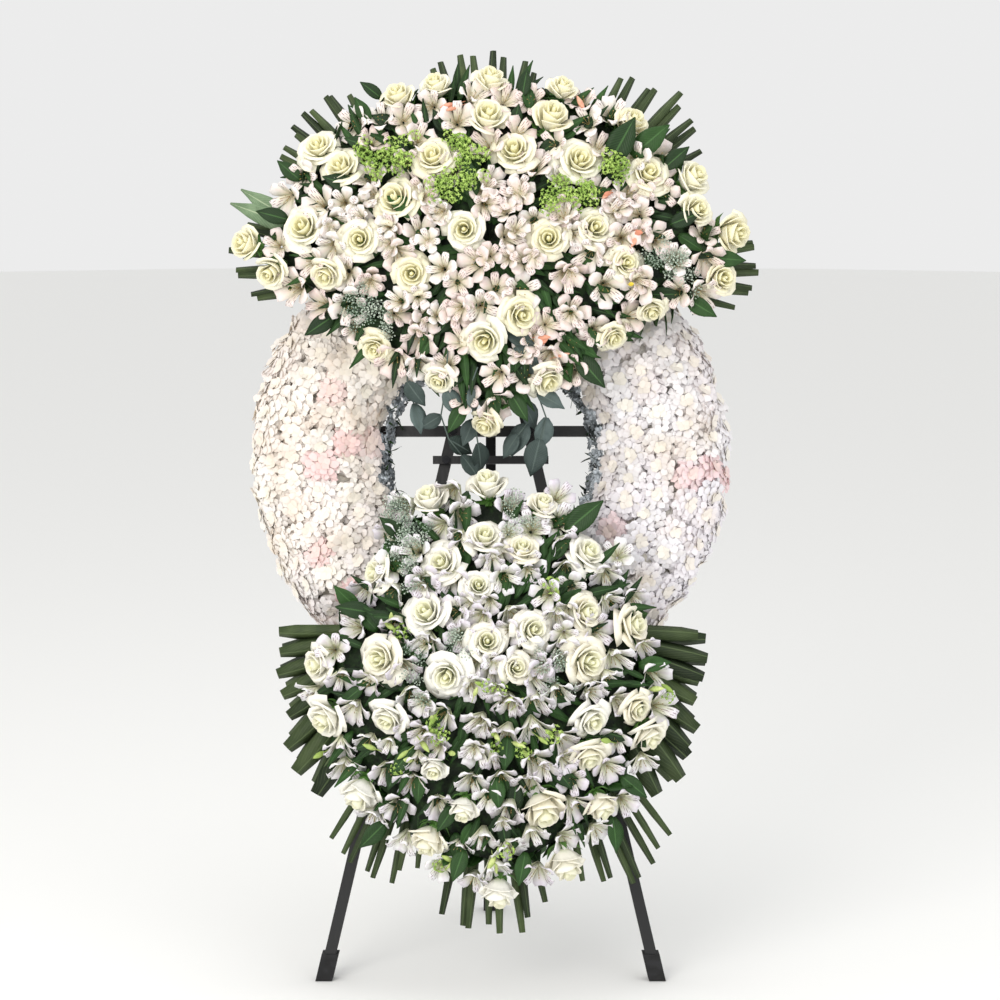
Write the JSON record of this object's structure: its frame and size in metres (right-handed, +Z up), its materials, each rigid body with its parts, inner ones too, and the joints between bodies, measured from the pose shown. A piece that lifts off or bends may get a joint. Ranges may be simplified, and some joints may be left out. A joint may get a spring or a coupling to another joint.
{
  "type": "funeral wreath on an easel",
  "caption": "Standing funeral wreath: a ring of white flower heads on a black tripod easel, with a spray of cream roses on top and a hanging spray of white roses below.",
  "frame": {"origin": "bottom centre of the bounding box, on the floor", "axes": "+Z up, the flowers face -Y, +X to the right seen from the front"},
  "size_m": [0.9324, 0.676, 1.6184],
  "materials": {
    "black_wood": "satin",
    "black_steel": "satin",
    "rubber_foot": "matte",
    "floral_foam": "matte",
    "ring_flowers": "matte",
    "cream_flowers": "matte",
    "white_flowers": "matte",
    "green_foliage": "satin"
  },
  "bodies": {
    "root": {"head_plate": "black_wood", "left_leg": "black_wood", "left_leg_foot_cap": "rubber_foot", "lower_bunch_far_left": "white_flowers", "lower_bunch_far_right": "white_flowers", "lower_bunch_high": "white_flowers", "lower_bunch_low_left": "white_flowers", "lower_bunch_low_right": "white_flowers", "lower_bunch_middle": "white_flowers", "lower_bunch_upper_left": "white_flowers", "lower_bunch_upper_right": "white_flowers", "lower_foam": "floral_foam", "lower_palm_left": "green_foliage", "lower_palm_low": "green_foliage", "lower_palm_low_left": "green_foliage", "lower_palm_low_right": "green_foliage", "lower_palm_right": "green_foliage", "narrow_bolt_left": "black_steel", "narrow_bolt_right": "black_steel", "narrow_crossbar": "black_wood", "plate_screw_left": "black_steel", "plate_screw_right": "black_steel", "rear_leg": "black_wood", "rear_leg_foot_cap": "rubber_foot", "rear_screw": "black_steel", "right_leg": "black_wood", "right_leg_foot_cap": "rubber_foot", "ring_base": "floral_foam", "ring_flowers_01": "ring_flowers", "ring_flowers_02": "ring_flowers", "ring_flowers_03": "ring_flowers", "ring_flowers_04": "ring_flowers", "ring_flowers_05": "ring_flowers", "ring_flowers_06": "ring_flowers", "ring_flowers_07": "ring_flowers", "ring_flowers_08": "ring_flowers", "ring_flowers_09": "ring_flowers", "ring_flowers_10": "ring_flowers", "ring_pin_left": "black_steel", "ring_pin_right": "black_steel", "ring_pin_top": "black_steel", "top_bunch_far_left": "cream_flowers", "top_bunch_far_right": "cream_flowers", "top_bunch_high_left": "cream_flowers", "top_bunch_high_right": "cream_flowers", "top_bunch_low": "cream_flowers", "top_bunch_middle": "cream_flowers", "top_bunch_upper_left": "cream_flowers", "top_bunch_upper_right": "cream_flowers", "top_foam": "floral_foam", "top_palm_left": "green_foliage", "top_palm_right": "green_foliage", "top_palm_top": "green_foliage", "top_palm_upper_left": "green_foliage", "top_palm_upper_right": "green_foliage", "wide_bolt_left": "black_steel", "wide_bolt_right": "black_steel", "wide_crossbar": "black_wood"}
  },
  "joints": []
}
